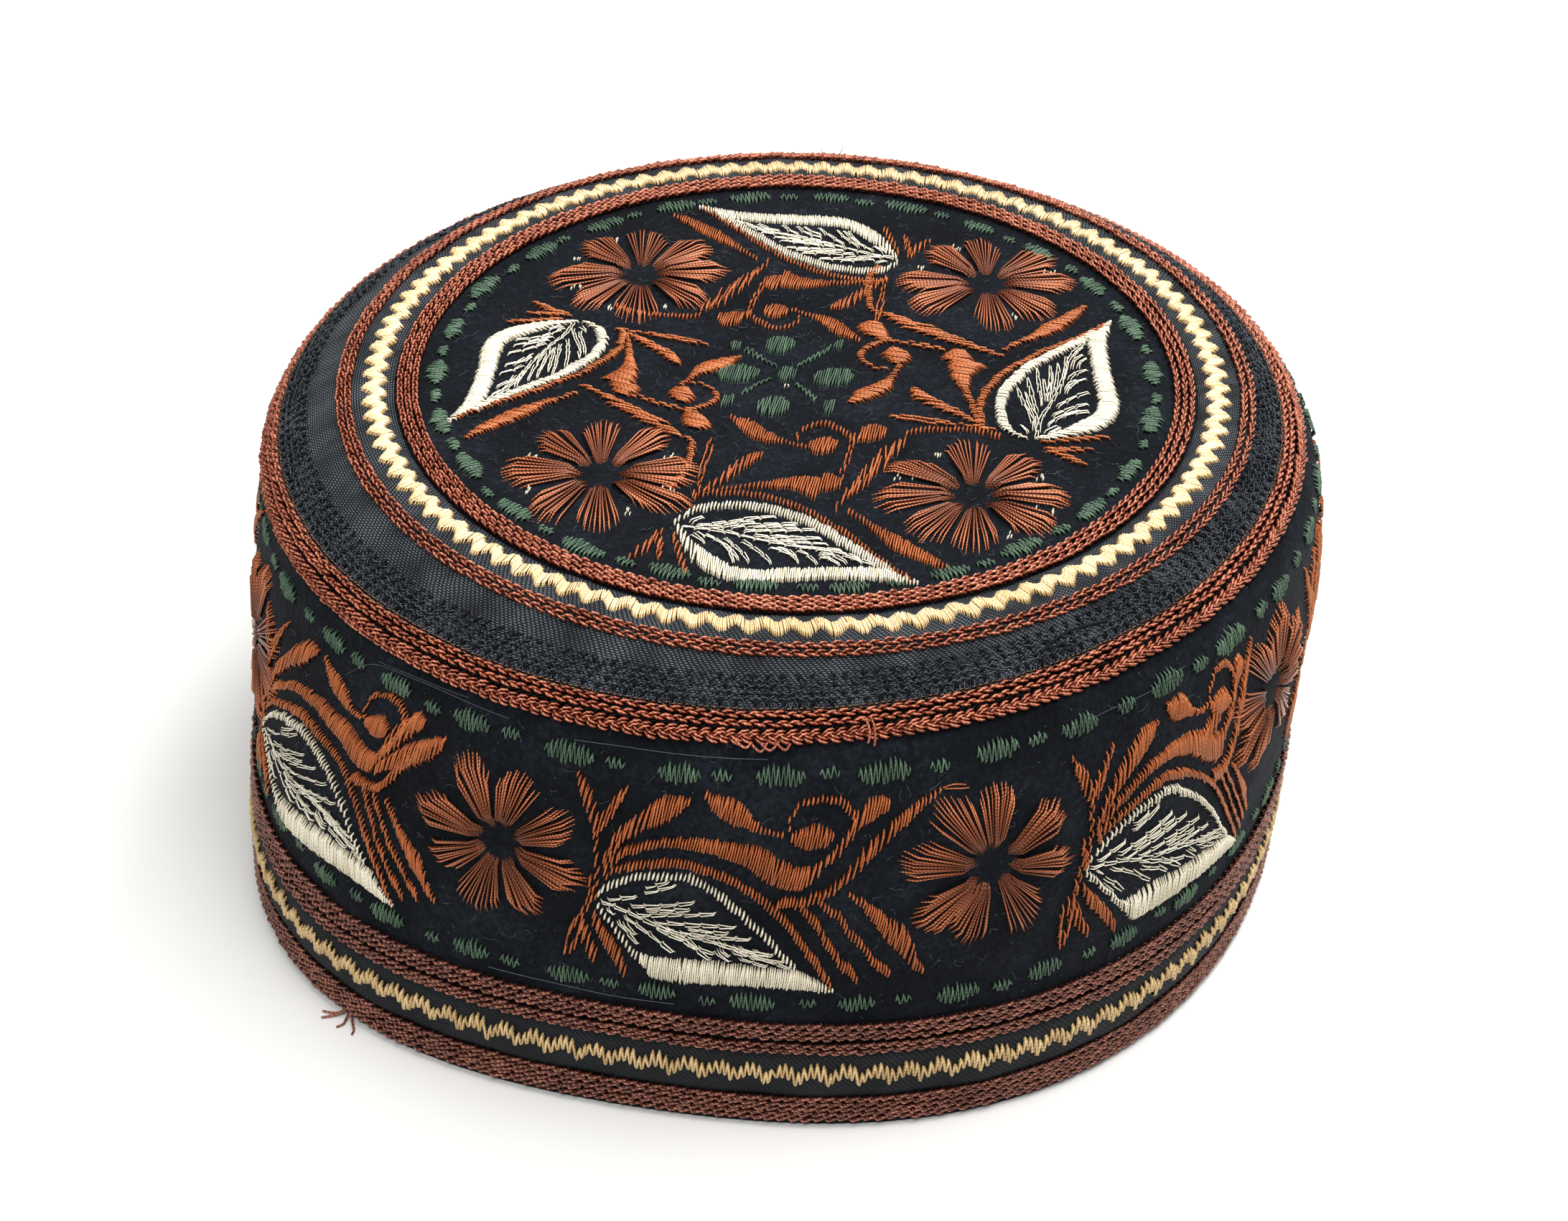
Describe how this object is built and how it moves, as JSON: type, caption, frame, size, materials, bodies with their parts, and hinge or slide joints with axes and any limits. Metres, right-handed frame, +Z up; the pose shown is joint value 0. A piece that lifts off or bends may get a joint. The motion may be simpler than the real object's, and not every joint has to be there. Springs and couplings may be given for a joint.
{
  "type": "kufi",
  "caption": "Stiff round kufi with an upright velvet side band and a flat crown, trimmed with braids, satin ribbon and floral embroidery.",
  "frame": {"origin": "middle of the rim, on the surface that the cap rests on", "axes": "+Z up from the rim to the crown, -Y towards the front of the picture, +X to its right"},
  "size_m": [0.1852, 0.1866, 0.0863],
  "materials": {
    "black_velvet": "black cotton velvet, short pile",
    "black_satin": "black twill satin ribbon, soft gloss",
    "rust_thread": "rust rayon thread, chain stitched",
    "gold_thread": "pale gold rayon thread, satin stitched"
  },
  "bodies": {
    "root": {"side_band": "black_velvet", "crown": "black_velvet", "crown_ribbon": "black_satin", "edge_stitch_band": "black_satin", "hem_ribbon": "black_satin", "inner_braid": "rust_thread", "middle_braid": "rust_thread", "edge_braid_high": "rust_thread", "edge_braid_low": "rust_thread", "band_braid_high": "rust_thread", "band_braid_low": "rust_thread", "hem_braid": "rust_thread", "crown_zigzag": "gold_thread", "hem_zigzag": "gold_thread"}
  },
  "joints": []
}
